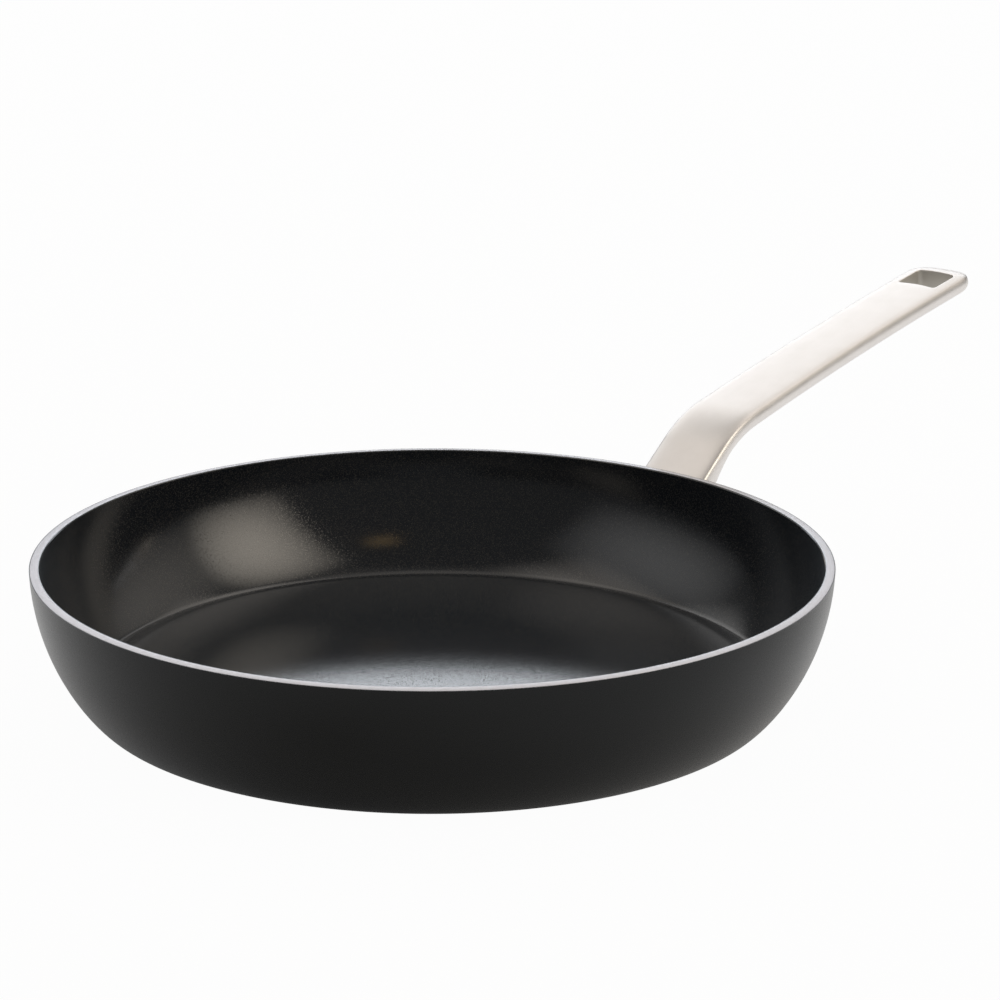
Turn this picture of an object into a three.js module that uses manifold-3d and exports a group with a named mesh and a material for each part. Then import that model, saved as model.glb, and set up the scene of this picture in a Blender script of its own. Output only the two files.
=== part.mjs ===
// Ceramic-coated frying pan: a forged aluminium shell and a cast steel handle, screwed on from outside
// Millimetres, +Z up. The origin is the centre of the base, and the handle runs along +X.
import * as THREE from 'three';
import { mergeVertices } from 'three/addons/utils/BufferGeometryUtils.js';
import Module from 'manifold-3d';

const wasm = await Module();
wasm.setup();

// Pan shell
const rimRadius = 140;
const panHeight = 50;
const rimLean = THREE.MathUtils.degToRad(1.8);
const wallPull = 30.5;
const knuckleRadius = 119;
const knucklePull = 2.2;
const wallThickness = 3.4;
const floorThickness = 4.9;
const floorFilletRise = 2.2;
const rimBevel = 0.6;
const standRadius = 116.5;
const standStep = 0.4;
const coatingThickness = 0.3;

// Induction disc in the base
const discRadius = 95;
const discThickness = 0.8;
const discHoleRadius = 3;
const discHolePitch = 20;
const discBlankRadius = 22;
const discEdgeMargin = 8;

// Handle, measured along the line where its top meets its sides
const rootDrop = 3.2;
const rootSlope = THREE.MathUtils.degToRad(37.8);
const rootLength = 17;
const bendRadius = 53;
const gripSlope = THREE.MathUtils.degToRad(11.7);
const tipSlope = THREE.MathUtils.degToRad(8.1);
const gripLength = 158.7;
const rootHalfWidth = 14.1;
const waistHalfWidth = 13.15;
const tipHalfWidth = 13.3;
const waistShare = 0.6;
const crownHeight = 1.2;
const crownFlat = 0.75;
const crownShoulder = 0.965;
const shoulderRise = 0.85;
const sideDepth = 6.6;
const sideBulge = 0.8;
const sideBulgeShare = 0.35;
const underEdgeRadius = 6;
const tipCornerRadius = 11.5;
const tipRoll = 1.4;
const gussetDepth = 6;
const gussetLength = 24;

// Hanging slot and the channel under the grip
const slotToTip = 17.85;
const slotLength = 15.9;
const slotWidth = 17.2;
const slotBow = 1;
const slotCornerRadius = 1.8;
const channelStart = 26;
const channelLength = 104;
const channelWidth = 13;
const channelDepth = 3.2;
const channelOvercut = 1;

// Pad on the wall
const padThickness = 4;
const padTopDrop = 5;
const padHeight = 30;
const padTopHalfWidth = 15.5;
const padHalfWidth = 23.5;
const padCornerRadius = 9;

// Fixings
const studDrop = 22;
const studSpacing = 29;
const studRadius = 3.5;
const studBoreRadius = 2.3;
const studFloor = 1.2;
const bossRadius = 7;
const bossHeight = 6.5;
const screwRadius = 2;
const screwReach = 5;
const screwHeadRadius = 4.75;
const screwHeadHeight = 2.7;
const screwHeadEdge = 0.8;
const screwHeadFlat = 2.2;
const washerRadius = 5;
const washerThickness = 1;

// Gaps between pieces that meet
const seatGap = 0.3;
const bondGap = 0.02;
const studRecess = 0.5;

// Facets
const panSegments = 60;
const wallSteps = 6;
const filletSteps = 3;
const roundSegments = 16;
const discHoleSegments = 8;
const sectionSteps = 6;
const bendSteps = 6;
const gripSteps = 10;
const channelSteps = 14;
const outlineSteps = 4;
const halvings = 40;
const weldTolerance = 1e-4;

const upright = (geometry) => geometry.rotateX(Math.PI / 2);
const revolve = (points, segments) => upright(new THREE.LatheGeometry(points, segments));
const point = (x, y) => new THREE.Vector2(x, y);

function toSolid(geometry) {
  const bare = geometry.clone();
  bare.deleteAttribute('normal');
  bare.deleteAttribute('uv');
  const merged = mergeVertices(bare, weldTolerance);
  const triVerts = [];
  const index = merged.index.array;
  for (let i = 0; i < index.length; i += 3) {
    const [a, b, c] = [index[i], index[i + 1], index[i + 2]];
    if (a !== b && b !== c && c !== a) triVerts.push(a, b, c);
  }
  const vertProperties = new Float32Array(merged.attributes.position.array);
  const mesh = new wasm.Mesh({ numProp: 3, vertProperties, triVerts: new Uint32Array(triVerts) });
  return new wasm.Manifold(mesh);
}

function toGeometry(solid) {
  const { vertProperties, triVerts } = solid.getMesh();
  const geometry = new THREE.BufferGeometry();
  geometry.setAttribute('position', new THREE.BufferAttribute(new Float32Array(vertProperties), 3));
  geometry.setIndex(new THREE.BufferAttribute(new Uint32Array(triVerts), 1));
  geometry.computeVertexNormals();
  return geometry;
}

function piece(name, geometry, color, roughness, metalness) {
  const mesh = new THREE.Mesh(geometry, new THREE.MeshStandardMaterial({ color, roughness, metalness }));
  mesh.name = name;
  return mesh;
}

// Wall profile: nearly upright at the rim, then curving in ever faster to a tight knuckle at the base
const wallCurve = new THREE.CubicBezierCurve(
  point(rimRadius, panHeight - rimBevel),
  point(rimRadius - wallPull * Math.sin(rimLean), panHeight - rimBevel - wallPull * Math.cos(rimLean)),
  point(knuckleRadius + knucklePull, standStep),
  point(knuckleRadius, standStep),
);

function wallOffset(share, inward) {
  const place = wallCurve.getPoint(share);
  const along = wallCurve.getTangent(share);
  return point(place.x + along.y * inward, place.y - along.x * inward);
}

// The wall curve moved inward by a distance, from the rim down
function wallPoints(inward, lastShare = 1) {
  const points = [];
  for (let i = 0; i <= wallSteps; i++) {
    points.push(wallOffset((lastShare * i) / wallSteps, inward));
  }
  points[0].y = panHeight - rimBevel;
  return points;
}

function shareAtHeight(height, inward) {
  let low = 0;
  let high = 1;
  for (let i = 0; i < halvings; i++) {
    const middle = (low + high) / 2;
    if (wallOffset(middle, inward).y > height) low = middle;
    else high = middle;
  }
  return low;
}

// Inner wall, fillet and floor, from the rim to the axis
function innerPoints(inward, floorHeight) {
  const share = shareAtHeight(floorHeight + floorFilletRise, inward);
  const wall = wallPoints(inward, share);
  const foot = wall.at(-1);
  const along = wallCurve.getTangent(share);
  const run = (floorHeight - foot.y) / along.y;
  const corner = point(foot.x + along.x * run, floorHeight);
  const fillet = new THREE.QuadraticBezierCurve(foot, corner, point(corner.x - run, floorHeight));
  return [...wall, ...fillet.getPoints(filletSteps).slice(1), point(0, floorHeight)];
}

const coreOuter = wallPoints(coatingThickness);
const coreInward = coatingThickness + wallThickness;
const coreInner = innerPoints(coreInward, floorThickness);

// Forged aluminium shell, with a recess for the disc and a bare rim bevelled on both edges
function panBody() {
  const recess = [
    point(0, discThickness),
    point(discRadius + seatGap, discThickness),
    point(discRadius + seatGap, 0),
    point(standRadius, 0),
    point(standRadius + standStep, standStep + coatingThickness),
  ];
  const rim = [
    point(rimRadius - coatingThickness - rimBevel, panHeight),
    point(rimRadius - coatingThickness - wallThickness + rimBevel, panHeight),
  ];
  const profile = [...recess, ...coreOuter.toReversed(), ...rim, ...coreInner];
  return piece('pan_body', revolve(profile, panSegments), '#d2d0d4', 0.35, 1);
}

// Ceramic layer, which follows the shell's inner face
function ceramicCoating() {
  const back = innerPoints(coreInward + bondGap, floorThickness + bondGap);
  const face = innerPoints(coreInward + coatingThickness, floorThickness + coatingThickness);
  const profile = [...back.toReversed(), ...face];
  return piece('ceramic_coating', revolve(profile, panSegments), '#232328', 0.4, 0);
}

// Outer layer, which follows the shell's outer face and is left open round the studs
function outerCoating() {
  const face = wallPoints(0);
  const back = wallPoints(coatingThickness - bondGap);
  const profile = [...face.toReversed(), ...back, face.at(-1)];
  let layer = toSolid(revolve(profile, panSegments));
  for (const side of [1, -1]) {
    const opening = cylinder(studRadius + seatGap, -bossHeight, bossHeight);
    layer = layer.subtract(toSolid(onStud(opening, side)));
  }
  return piece('outer_coating', toGeometry(layer), '#2b2c30', 0.55, 0);
}

// Perforated steel disc: rings of holes that the aluminium is pressed through
function inductionDisc() {
  const outline = new THREE.Shape().absarc(0, 0, discRadius, 0, 2 * Math.PI);
  const lastRing = discRadius - discEdgeMargin;
  const rings = Math.floor((lastRing - discBlankRadius) / discHolePitch);
  for (let ring = 0; ring <= rings; ring++) {
    const ringRadius = lastRing - ring * discHolePitch;
    const count = Math.floor((2 * Math.PI * ringRadius) / discHolePitch);
    for (let i = 0; i < count; i++) {
      const turn = (2 * Math.PI * i) / count;
      const hole = new THREE.Path();
      for (let k = 0; k < discHoleSegments; k++) {
        const corner = (-2 * Math.PI * k) / discHoleSegments;
        const x = ringRadius * Math.cos(turn) + discHoleRadius * Math.cos(corner);
        const y = ringRadius * Math.sin(turn) + discHoleRadius * Math.sin(corner);
        if (k === 0) hole.moveTo(x, y);
        else hole.lineTo(x, y);
      }
      outline.holes.push(hole);
    }
  }
  const options = { depth: discThickness, bevelEnabled: false, curveSegments: panSegments / 2 };
  return piece('induction_disc', new THREE.ExtrudeGeometry(outline, options), '#b4b3b0', 0.35, 1);
}

// Handle spine: a straight root, a bend and one long, nearly straight grip
const bendLength = bendRadius * (rootSlope - gripSlope);
const spineLength = rootLength + bendLength + gripLength;

function spineAt(distance) {
  const inBend = THREE.MathUtils.clamp(distance - rootLength, 0, bendLength);
  const inGrip = Math.max(distance - rootLength - bendLength, 0);
  const gripRadius = gripLength / (gripSlope - tipSlope);
  const bendSlope = rootSlope - inBend / bendRadius;
  const slope = bendSlope - inGrip / gripRadius;
  const straight = Math.min(distance, rootLength);
  const x = straight * Math.cos(rootSlope)
    + bendRadius * (Math.sin(rootSlope) - Math.sin(bendSlope))
    + gripRadius * (Math.sin(bendSlope) - Math.sin(slope));
  const z = straight * Math.sin(rootSlope)
    + bendRadius * (Math.cos(bendSlope) - Math.cos(rootSlope))
    + gripRadius * (Math.cos(slope) - Math.cos(bendSlope));
  return { x: rimRadius + x, z: panHeight - rootDrop + z, slope };
}

// A point beside the spine: across to +Y, and up square to the spine
function besideSpine(distance, across, up) {
  const { x, z, slope } = spineAt(distance);
  return new THREE.Vector3(x - up * Math.sin(slope), across, z + up * Math.cos(slope));
}

// Half width: broad root, narrower waist, slightly wider tip with round corners
function halfWidthAt(distance) {
  const share = Math.max(distance, 0) / spineLength;
  const beforeWaist = share < waistShare;
  const away = beforeWaist ? 1 - share / waistShare : (share - waistShare) / (1 - waistShare);
  const end = beforeWaist ? rootHalfWidth : tipHalfWidth;
  const width = waistHalfWidth + (end - waistHalfWidth) * away ** 2;
  const fromTip = Math.min(spineLength - distance, tipCornerRadius);
  const corner = tipCornerRadius - Math.sqrt(tipCornerRadius ** 2 - (tipCornerRadius - fromTip) ** 2);
  return width - corner;
}

// Cross-section: nearly flat top with a tight shoulder, and sides that round into a flat underside
function handleRing(distance) {
  const half = halfWidthAt(distance);
  const intoTip = 1 - Math.min((spineLength - distance) / tipCornerRadius, 1);
  const roll = tipRoll * (1 - Math.sqrt(1 - intoTip ** 2));
  const gusset = gussetDepth * Math.max(1 - Math.max(distance, 0) / gussetLength, 0) ** 2;
  const under = sideDepth + gusset - roll;
  const top = new THREE.CubicBezierCurve(
    point(0, crownHeight - roll),
    point(half * crownFlat, crownHeight - roll),
    point(half * crownShoulder, crownHeight * shoulderRise - roll),
    point(half, -roll),
  );
  const side = new THREE.CubicBezierCurve(
    point(half, -roll),
    point(half + sideBulge, -roll - (under - roll) * sideBulgeShare),
    point(half + sideBulge, -under),
    point(half - Math.min(underEdgeRadius, half / 2), -under),
  );
  const right = [...top.getPoints(sectionSteps), ...side.getPoints(sectionSteps).slice(1)];
  const left = right.slice(1).toReversed().map((p) => point(-p.x, p.y));
  return [...right, ...left].map((p) => besideSpine(distance, p.x, p.y));
}

// A solid skinned over rings of points, closed by a fan at each end
function loft(rings) {
  const count = rings[0].length;
  const corners = rings.flat();
  const centre = (ring) => ring.reduce((sum, p) => sum.add(p), new THREE.Vector3()).divideScalar(count);
  const first = corners.push(centre(rings[0])) - 1;
  const last = corners.push(centre(rings.at(-1))) - 1;
  const index = [];
  for (let i = 0; i < count; i++) {
    const next = (i + 1) % count;
    for (let k = 0; k + 1 < rings.length; k++) {
      const [a, b] = [k * count + i, k * count + next];
      index.push(a, a + count, b, b, a + count, b + count);
    }
    const end = (rings.length - 1) * count;
    index.push(first, i, next, last, end + next, end + i);
  }
  const geometry = new THREE.BufferGeometry().setFromPoints(corners);
  return geometry.setIndex(index);
}

// Stations along the spine: from inside the wall out to the tip, closer together where the form turns
function handleStations() {
  const stations = [-gussetLength, -gussetLength / 2];
  const addRun = (from, to, steps) => {
    for (let i = 0; i < steps; i++) {
      stations.push(from + ((to - from) * i) / steps);
    }
  };
  addRun(0, rootLength, bendSteps);
  addRun(rootLength, rootLength + bendLength, bendSteps);
  addRun(rootLength + bendLength, spineLength - tipCornerRadius, gripSteps);
  for (let i = 0; i <= bendSteps; i++) {
    const turn = (Math.PI / 2) * (i / bendSteps);
    stations.push(spineLength - tipCornerRadius * (1 - Math.sin(turn)));
  }
  return stations;
}

// Hanging slot: a rectangle with round corners and ends that bow towards the tip, square through the grip
function slotCut() {
  const [a, b, r] = [slotLength / 2, slotWidth / 2, slotCornerRadius];
  const outline = new THREE.Shape();
  outline.moveTo(-a + r, -b);
  outline.lineTo(a - r, -b);
  outline.quadraticCurveTo(a, -b, a, -b + r);
  outline.quadraticCurveTo(a + 2 * slotBow, 0, a, b - r);
  outline.quadraticCurveTo(a, b, a - r, b);
  outline.lineTo(-a + r, b);
  outline.quadraticCurveTo(-a, b, -a, b - r);
  outline.quadraticCurveTo(-a + 2 * slotBow, 0, -a, -b + r);
  outline.quadraticCurveTo(-a, -b, -a + r, -b);
  const depth = 2 * (crownHeight + sideDepth);
  const options = { depth, bevelEnabled: false, curveSegments: outlineSteps };
  const geometry = new THREE.ExtrudeGeometry(outline, options);
  const { x, z, slope } = spineAt(spineLength - slotToTip);
  return geometry.translate(0, 0, -depth / 2).rotateY(-slope).translate(x, 0, z);
}

// Channel that lightens the casting from below, with rounded ends
function channelCut() {
  const rings = [];
  const endShare = channelWidth / channelLength;
  const leastFull = 0.15;
  for (let i = 0; i <= channelSteps; i++) {
    const reach = Math.cos((Math.PI * i) / channelSteps);
    const past = Math.max(Math.abs(reach) - (1 - endShare), 0) / endShare;
    const full = Math.max(Math.sqrt(1 - past ** 2), leastFull);
    const half = (channelWidth / 2) * full;
    const deep = channelDepth * full;
    const distance = rootLength + bendLength + channelStart + (channelLength / 2) * (1 - reach);
    const floor = -sideDepth + deep;
    const mouth = point(half, -sideDepth - channelOvercut);
    const wall = new THREE.QuadraticBezierCurve(mouth, point(half, floor), point(0, floor));
    const right = wall.getPoints(sectionSteps);
    const left = right.slice(0, -1).toReversed().map((p) => point(-p.x, p.y));
    rings.push([...right, ...left].map((p) => besideSpine(distance, p.x, p.y)).toReversed());
  }
  return loft(rings);
}

// Pad: the wall's own shape thickened outwards, inside a flared outline
function wallShell(from, to) {
  const profile = [...wallPoints(-to).toReversed(), ...wallPoints(-from), wallPoints(-to).at(-1)];
  return toSolid(revolve(profile, panSegments));
}

function padSolid() {
  const top = panHeight - padTopDrop;
  const middle = top - padHeight / 2;
  const bottom = top - padHeight;
  const r = padCornerRadius;
  const outline = new THREE.Shape();
  outline.moveTo(-padTopHalfWidth, top);
  outline.lineTo(padTopHalfWidth, top);
  outline.bezierCurveTo(padTopHalfWidth, top - r, padHalfWidth, top - r / 2, padHalfWidth, middle);
  outline.lineTo(padHalfWidth, bottom + r);
  outline.quadraticCurveTo(padHalfWidth, bottom, padHalfWidth - r, bottom);
  outline.lineTo(-padHalfWidth + r, bottom);
  outline.quadraticCurveTo(-padHalfWidth, bottom, -padHalfWidth, bottom + r);
  outline.lineTo(-padHalfWidth, middle);
  outline.bezierCurveTo(-padHalfWidth, top - r / 2, -padTopHalfWidth, top - r, -padTopHalfWidth, top);
  const options = { depth: 2 * rimRadius, bevelEnabled: false, curveSegments: outlineSteps };
  const block = new THREE.ExtrudeGeometry(outline, options).rotateX(Math.PI / 2).rotateZ(Math.PI / 2);
  return toSolid(block).intersect(wallShell(seatGap, seatGap + padThickness));
}

// Everything inside the outer wall, with a gap, up to well above the rim
function wallBlank() {
  const wall = wallPoints(-seatGap);
  const top = panHeight + rimRadius;
  const profile = [point(0, wall.at(-1).y), ...wall.toReversed(), point(wall[0].x, top), point(0, top)];
  return toSolid(revolve(profile, panSegments));
}

// Stud axis: square to the wall in side view, and the same on both sides so that the pad slides on
const studHeight = panHeight - studDrop;
const studShare = shareAtHeight(studHeight, 0);

function studMatrix(side) {
  const wall = wallCurve.getPoint(studShare);
  const along = wallCurve.getTangent(studShare);
  const tilt = Math.atan2(-along.x, -along.y);
  const across = (side * studSpacing) / 2;
  const place = new THREE.Vector3(Math.sqrt(wall.x ** 2 - across ** 2), across, studHeight);
  const turn = new THREE.Quaternion().setFromAxisAngle(new THREE.Vector3(0, 1, 0), Math.PI / 2 + tilt);
  return new THREE.Matrix4().compose(place, turn, new THREE.Vector3(1, 1, 1));
}

function onStud(geometry, side) {
  return geometry.applyMatrix4(studMatrix(side));
}

function cylinder(radius, from, to) {
  const geometry = upright(new THREE.CylinderGeometry(radius, radius, to - from, roundSegments));
  return geometry.translate(0, 0, (from + to) / 2);
}

// Cast stainless steel handle
function handle() {
  let solid = toSolid(loft(handleStations().map(handleRing))).add(padSolid());
  for (const side of [1, -1]) {
    const boss = cylinder(bossRadius, -bossHeight, bossHeight);
    solid = solid.add(toSolid(onStud(boss, side)));
  }
  solid = solid.subtract(wallBlank());
  for (const side of [1, -1]) {
    const hole = cylinder(studRadius + seatGap, -bossHeight, 2 * bossHeight);
    solid = solid.subtract(toSolid(onStud(hole, side)));
  }
  solid = solid.subtract(toSolid(slotCut())).subtract(toSolid(channelCut()));
  return piece('handle', toGeometry(solid), '#e2deda', 0.3, 1);
}

// Threaded stud, welded to the bare shell inside an opening in the outer layer
function weldStud(name, side) {
  const top = bossHeight - studRecess;
  const profile = [
    point(0, -bossHeight),
    point(studRadius, -bossHeight),
    point(studRadius, top),
    point(studBoreRadius, top),
    point(studBoreRadius, studFloor),
    point(0, studFloor),
  ];
  const shell = [point(0, 0), ...wallPoints(coatingThickness - seatGap).toReversed(), point(0, panHeight)];
  const stud = toSolid(onStud(revolve(profile, roundSegments), side));
  return piece(name, toGeometry(stud.subtract(toSolid(revolve(shell, panSegments)))), '#c8c9cc', 0.45, 1);
}

function handleWasher(name, side) {
  const from = bossHeight + seatGap;
  const inner = screwRadius + seatGap;
  const profile = [
    point(inner, from),
    point(washerRadius, from),
    point(washerRadius, from + washerThickness),
    point(inner, from + washerThickness),
    point(inner, from),
  ];
  return piece(name, onStud(revolve(profile, roundSegments), side), '#b9b7b2', 0.35, 1);
}

function handleScrew(name, side) {
  const seat = bossHeight + washerThickness + 2 * seatGap;
  const foot = bossHeight - screwReach;
  const dome = new THREE.QuadraticBezierCurve(
    point(screwHeadRadius, seat + screwHeadEdge),
    point(screwHeadRadius, seat + screwHeadHeight),
    point(screwHeadFlat, seat + screwHeadHeight),
  );
  const profile = [
    point(0, foot),
    point(screwRadius, foot),
    point(screwRadius, seat),
    point(screwHeadRadius, seat),
    ...dome.getPoints(filletSteps),
    point(0, seat + screwHeadHeight),
  ];
  return piece(name, onStud(revolve(profile, roundSegments), side), '#b4b1ab', 0.3, 1);
}

const pan = new THREE.Group();
pan.add(panBody(), ceramicCoating(), outerCoating(), inductionDisc(), handle());
for (const [label, side] of [['left', 1], ['right', -1]]) {
  pan.add(weldStud(`weld_stud_${label}`, side));
  pan.add(handleWasher(`handle_washer_${label}`, side));
  pan.add(handleScrew(`handle_screw_${label}`, side));
}

export default pan;
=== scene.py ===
import math
from functools import cache
import bmesh
import bpy
from mathutils import Matrix, Vector
from mathutils.geometry import interpolate_bezier


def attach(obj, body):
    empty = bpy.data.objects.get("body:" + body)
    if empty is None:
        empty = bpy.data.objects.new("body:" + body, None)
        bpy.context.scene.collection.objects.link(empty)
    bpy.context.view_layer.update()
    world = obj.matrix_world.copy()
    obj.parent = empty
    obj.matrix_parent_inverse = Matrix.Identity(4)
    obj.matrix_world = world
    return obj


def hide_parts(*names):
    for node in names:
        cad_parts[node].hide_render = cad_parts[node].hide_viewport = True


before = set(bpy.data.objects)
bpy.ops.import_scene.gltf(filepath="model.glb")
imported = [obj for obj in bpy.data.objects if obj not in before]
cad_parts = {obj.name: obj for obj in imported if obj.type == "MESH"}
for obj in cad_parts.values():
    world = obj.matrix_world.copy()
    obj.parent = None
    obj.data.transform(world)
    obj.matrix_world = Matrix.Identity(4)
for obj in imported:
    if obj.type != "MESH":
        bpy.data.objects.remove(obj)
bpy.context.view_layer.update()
scene = bpy.context.scene

# Sizes of the pan are in millimetres, and MM turns them into metres.
MM = 0.001

# Pan shell: one aluminium forging with a thick flat base and a wall that curves up to a nearly upright rim.
# The rim is turned bare and falls slightly outwards. Below, a bare ring surrounds the recess for the steel
# disc, and pips of the shell's own metal are pressed through the disc's holes.
rim_radius = 140
pan_height = 50
rim_edge = 0.4
rim_lean = math.radians(1.8)
wall_pull = 30.5
wall_points = 65
knuckle_radius = 119
knuckle_pull = 2.2
stand_radius = 116.5
stand_step = 0.4
coat = 0.3
bond = 0.02
shell_wall = 3.05
shell_floor = 4.9
fillet_rise = 1.4
fillet_points = 12
floor_shares = (0.75, 0.5, 0.25, 0)
disc_radius = 95
disc_depth = 0.8
disc_gap = 0.3
pan_steps = 256

# Points closer than the first length become one, and points within the second count as lying on a line.
# Both are in metres.
weld = 1e-7
tolerance = 1e-6

rim_top = Vector((rim_radius, 0, pan_height - rim_edge))
rim_pull = rim_top - wall_pull * Vector((math.sin(rim_lean), 0, math.cos(rim_lean)))
knuckle = Vector((knuckle_radius, 0, stand_step))
knuckle_handle = knuckle + Vector((knuckle_pull, 0, 0))
wall_curve = interpolate_bezier(rim_top, rim_pull, knuckle_handle, knuckle, wall_points)


@cache
def wall_line(inward):
    """The wall's outer line moved in by so many millimetres, as (radius, height) from the rim down."""
    line = []
    earlier = wall_curve[:1] + wall_curve
    later = wall_curve[1:] + wall_curve[-1:]
    for before, place, after in zip(earlier, wall_curve, later):
        along = (after - before).normalized()
        line.append((place.x + along.z * inward, place.z - along.x * inward))
    line[0] = (line[0][0], rim_top.z)
    return line


def wall_radius(height, inward=0):
    """The radius of that line at a height."""
    line = wall_line(inward)
    for (high_radius, high), (low_radius, low) in zip(line, line[1:]):
        if low <= height <= high:
            return low_radius + (high_radius - low_radius) * (height - low) / (high - low)
    return line[0][0]


def inside_line(inward, floor):
    """The inner wall, the fillet at its foot and the flat floor, from the rim to the pan's axis."""
    foot_height = floor + fillet_rise
    line = [place for place in wall_line(inward) if place[1] > foot_height]
    foot = Vector((wall_radius(foot_height, inward), 0, foot_height))
    along = foot - Vector((line[-1][0], 0, line[-1][1]))
    corner = foot - along * fillet_rise / along.z
    end = corner - Vector(((foot - corner).length, 0, 0))
    leave = foot.lerp(corner, 2 / 3)
    arrive = end.lerp(corner, 2 / 3)
    fillet = interpolate_bezier(foot, leave, arrive, end, fillet_points)
    floor_line = [(end.x * share, floor) for share in floor_shares]
    return line + [(place.x, place.z) for place in fillet] + floor_line


def turned(profile, steps):
    """A turned piece: its (radius, height) profile in millimetres, spun once round the upright axis."""
    bm = bmesh.new()
    corners = [bm.verts.new((radius * MM, 0, height * MM)) for radius, height in profile]
    for start, end in zip(corners, corners[1:]):
        bm.edges.new((start, end))
    bmesh.ops.spin(bm, geom=bm.verts[:] + bm.edges[:], cent=(0, 0, 0), axis=(0, 0, 1), angle=math.tau,
                   steps=steps, use_merge=True, use_duplicate=False)
    bmesh.ops.remove_doubles(bm, verts=bm.verts, dist=weld)
    bmesh.ops.recalc_face_normals(bm, faces=bm.faces)
    return bm


def hoop(bm, radius, height):
    """The edges of a turned piece that run round it at one radius and height."""
    def on_hoop(vert):
        on_radius = abs(vert.co.xy.length - radius * MM) < tolerance
        return on_radius and abs(vert.co.z - height * MM) < tolerance
    return [edge for edge in bm.edges if on_hoop(edge.verts[0]) and on_hoop(edge.verts[1])]


def round_edges(bm, edges, radius, segments):
    """Rounds edges to a radius in millimetres."""
    bmesh.ops.bevel(bm, geom=edges, offset=radius * MM, offset_type="OFFSET", segments=segments, profile=0.5,
                    affect="EDGES", material=-1)


def dress(name, node, bm, material, sharp=35):
    """Makes the finished piece that stands for a CAD node and rides with the pan."""
    mesh = bpy.data.meshes.new(name)
    bm.to_mesh(mesh)
    bm.free()
    mesh.shade_smooth()
    mesh.set_sharp_from_angle(angle=math.radians(sharp))
    mesh.materials.append(material)
    dressed = bpy.data.objects.new(name, mesh)
    scene.collection.objects.link(dressed)
    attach(dressed, "root")
    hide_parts(node)


def linear(code):
    """An sRGB hex colour as the linear colour that the shaders take."""
    channels = [int(code[i:i + 2], 16) / 255 for i in (1, 3, 5)]
    return [c / 12.92 if c <= 0.04045 else ((c + 0.055) / 1.055) ** 2.4 for c in channels] + [1]


def add_node(tree, kind, inputs=(), **settings):
    """Adds a node with its settings. An input given a socket is linked, and one given a value is set."""
    node = tree.nodes.new(kind)
    for name, value in settings.items():
        setattr(node, name, value)
    for name, value in dict(inputs).items():
        if isinstance(value, bpy.types.NodeSocket):
            tree.links.new(value, node.inputs[name])
        else:
            node.inputs[name].default_value = value
    return node


def start_material(name):
    """An empty material: its node tree, its surface socket and the coordinates that its patterns lie in."""
    material = bpy.data.materials.new(name)
    material.use_nodes = True
    tree = material.node_tree
    tree.nodes.clear()
    out = add_node(tree, "ShaderNodeOutputMaterial")
    place = add_node(tree, "ShaderNodeTexCoord").outputs["Object"]
    return material, tree, out.inputs["Surface"], place


rim_outer = rim_radius - coat
rim_inner = rim_outer - shell_wall
rim_fall = 0.34
rim_lap = 0.4
rim_inner_round = 0.08
shell_profile = [
    (0, disc_depth),
    (disc_radius + disc_gap, disc_depth),
    (disc_radius + disc_gap, 0),
    (stand_radius, 0),
    (stand_radius + stand_step, stand_step + coat),
    *reversed(wall_line(coat)[1:]),
    (rim_outer, pan_height - rim_fall),
    (rim_inner + rim_lap, pan_height),
    *inside_line(coat + shell_wall, shell_floor),
]
shell = turned(shell_profile, pan_steps)
round_edges(shell, hoop(shell, rim_outer, pan_height - rim_fall), rim_edge - rim_fall, segments=4)
round_edges(shell, hoop(shell, rim_inner + rim_lap, pan_height), rim_inner_round, segments=3)

hole_radius = 3
hole_pitch = 20
hole_steps = 20
disc_margin = 8
blank_radius = 22
pip_radius = hole_radius - 0.1
pip_sink = 0.12
pip_round = 0.3
hole_places = []
ring_radius = disc_radius - disc_margin
while ring_radius >= blank_radius:
    count = math.floor(math.tau * ring_radius / hole_pitch)
    for i in range(count):
        turn = Matrix.Rotation(math.tau * i / count, 3, "Z")
        hole_places.append(turn @ Vector((ring_radius, 0, 0)))
    ring_radius -= hole_pitch
for place in hole_places:
    middle = place + Vector((0, 0, (pip_sink + disc_depth) / 2))
    pip = bmesh.ops.create_cone(shell, cap_ends=True, segments=hole_steps, radius1=pip_radius * MM,
                                radius2=pip_radius * MM, depth=(disc_depth - pip_sink) * MM,
                                matrix=Matrix.Translation(middle * MM))
    lip = [edge for edge in {e for v in pip["verts"] for e in v.link_edges}
           if all(v.co.z < middle.z * MM for v in edge.verts)]
    round_edges(shell, lip, pip_round, segments=2)

# Aluminium, turned: pale and cool, with the fine round marks of the tool. They are 0.15 mm apart on the real
# rim, and drawn 0.5 mm apart here so that they show. A wave texture of scale 1 repeats after wave_period.
wave_period = math.pi / 10
aluminium, tree, surface, place = start_material("turned_aluminium")
tool_pitch = 0.5
scuff_size = 1.6
marks = add_node(tree, "ShaderNodeTexWave", {"Vector": place, "Scale": wave_period / (tool_pitch * MM),
                 "Distortion": 1.5, "Detail": 2, "Detail Scale": 0.4}, wave_type="RINGS", rings_direction="Z")
scuffs = add_node(tree, "ShaderNodeTexNoise", {"Vector": place, "Scale": 1 / (scuff_size * MM), "Detail": 4})
worn = add_node(tree, "ShaderNodeMapRange", {"Value": scuffs.outputs["Fac"], "From Min": 0.3, "From Max": 0.7,
                "To Min": 0.4, "To Max": 0.56})
tone = add_node(tree, "ShaderNodeMix", {"Factor": scuffs.outputs["Fac"], 6: linear("#c9c8cc"),
                7: linear("#d6d5d9")}, data_type="RGBA")
relief = add_node(tree, "ShaderNodeBump", {"Height": marks.outputs["Fac"], "Strength": 0.25,
                  "Distance": 0.006 * MM})
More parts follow.
